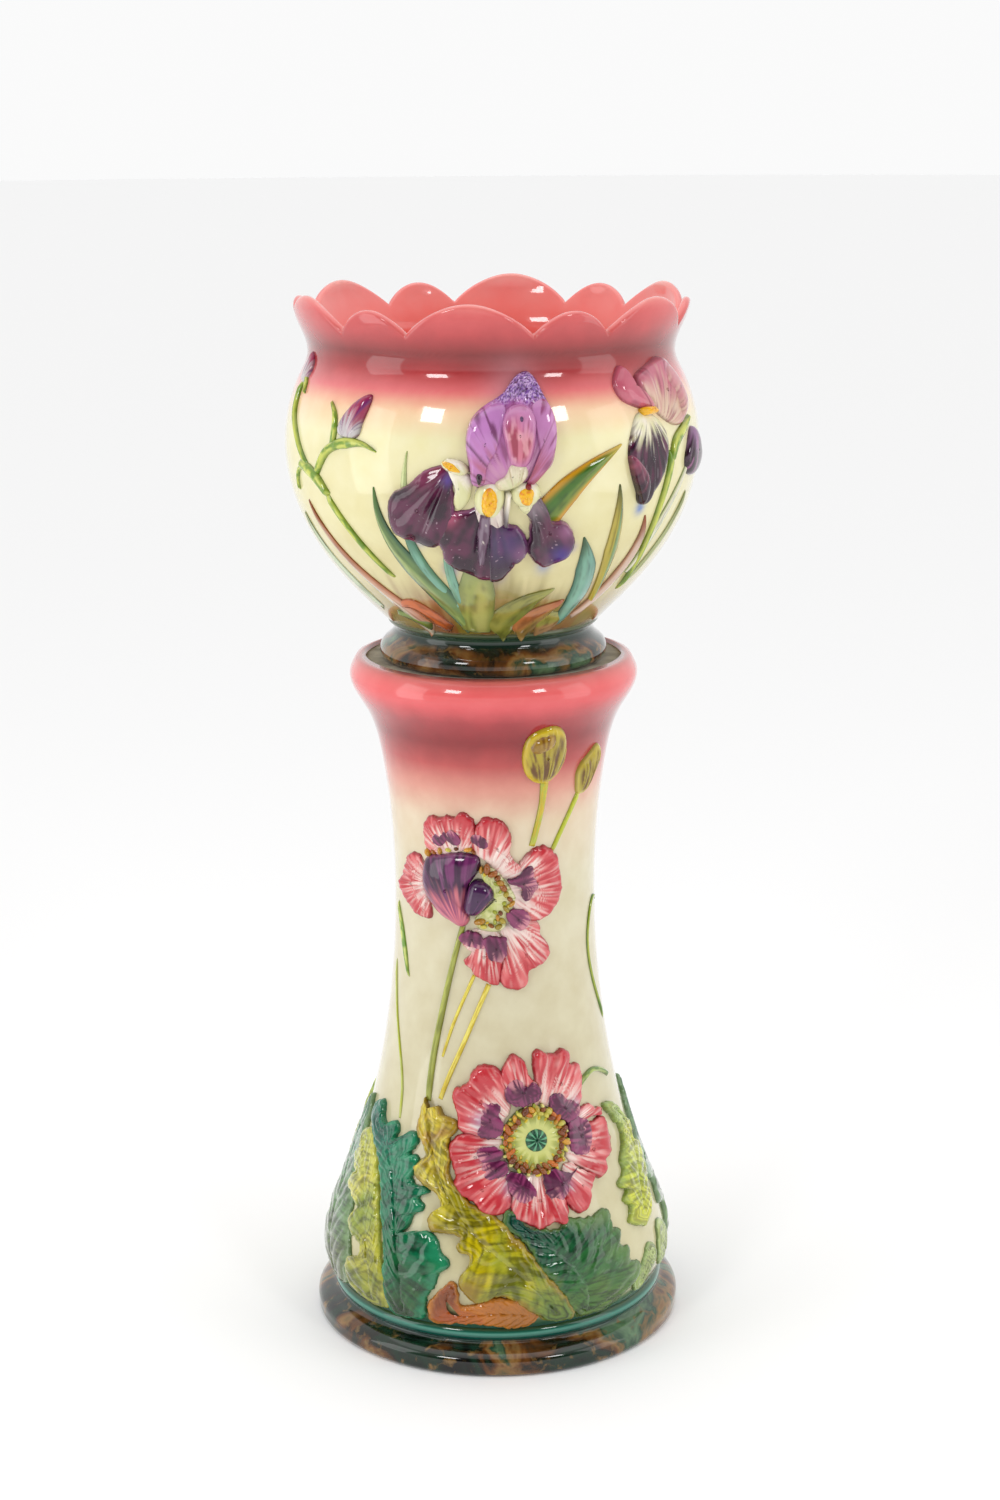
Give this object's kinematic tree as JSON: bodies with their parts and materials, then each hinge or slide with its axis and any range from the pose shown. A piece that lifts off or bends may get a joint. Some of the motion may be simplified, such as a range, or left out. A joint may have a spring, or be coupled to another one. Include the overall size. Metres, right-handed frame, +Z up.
{
  "type": "jardiniere on stand",
  "caption": "Round glazed planter bowl with a scalloped rim and applied flowers, standing loose on a hollow waisted pedestal with a rolled top and stepped round base.",
  "frame": {"origin": "centre of the plinth's underside, on the floor", "axes": "+Z up along the common axis of stand and bowl, -Y towards the viewer (the front sprigs), +X to the viewer's right"},
  "size_m": [0.4017, 0.425, 1.05],
  "materials": {
    "glaze_cream": "high gloss glaze, cream shading to rose at the rim and the roll",
    "glaze_mottled": "high gloss tortoiseshell glaze, brown, green and black",
    "bisque": "unglazed, rough",
    "glaze_lilac": "high gloss glaze",
    "glaze_purple": "high gloss glaze",
    "glaze_coral": "high gloss glaze",
    "glaze_green": "high gloss glaze",
    "glaze_olive": "high gloss glaze",
    "glaze_teal": "high gloss glaze"
  },
  "bodies": {
    "stand": {"stand_column": "glaze_cream", "stand_seat": "bisque", "stand_plinth": "glaze_mottled", "seed_heads": "glaze_olive", "poppy_stems": "glaze_olive", "upper_poppy_petals": "glaze_coral", "upper_poppy_cup": "glaze_purple", "lower_poppy_petals": "glaze_coral", "lower_poppy_pod": "glaze_green", "leaf_yellow": "glaze_olive", "leaf_teal": "glaze_teal", "leaf_olive": "glaze_olive", "leaf_fan": "glaze_green", "leaf_side": "glaze_green"},
    "jardiniere": {"bowl": "glaze_cream", "bowl_foot": "glaze_mottled", "iris_standard": "glaze_lilac", "iris_fall_left": "glaze_purple", "iris_fall_centre": "glaze_purple", "iris_fall_right": "glaze_purple", "side_iris_standard": "glaze_lilac", "side_iris_fall": "glaze_purple", "iris_buds": "glaze_lilac", "iris_stems": "glaze_green", "iris_leaves": "glaze_olive"}
  },
  "joints": [
    {"name": "jardiniere_lift", "type": "slide", "parent": "stand", "child": "jardiniere", "axis": [0, 0, 1], "range_m": [0, 0.15]}
  ]
}
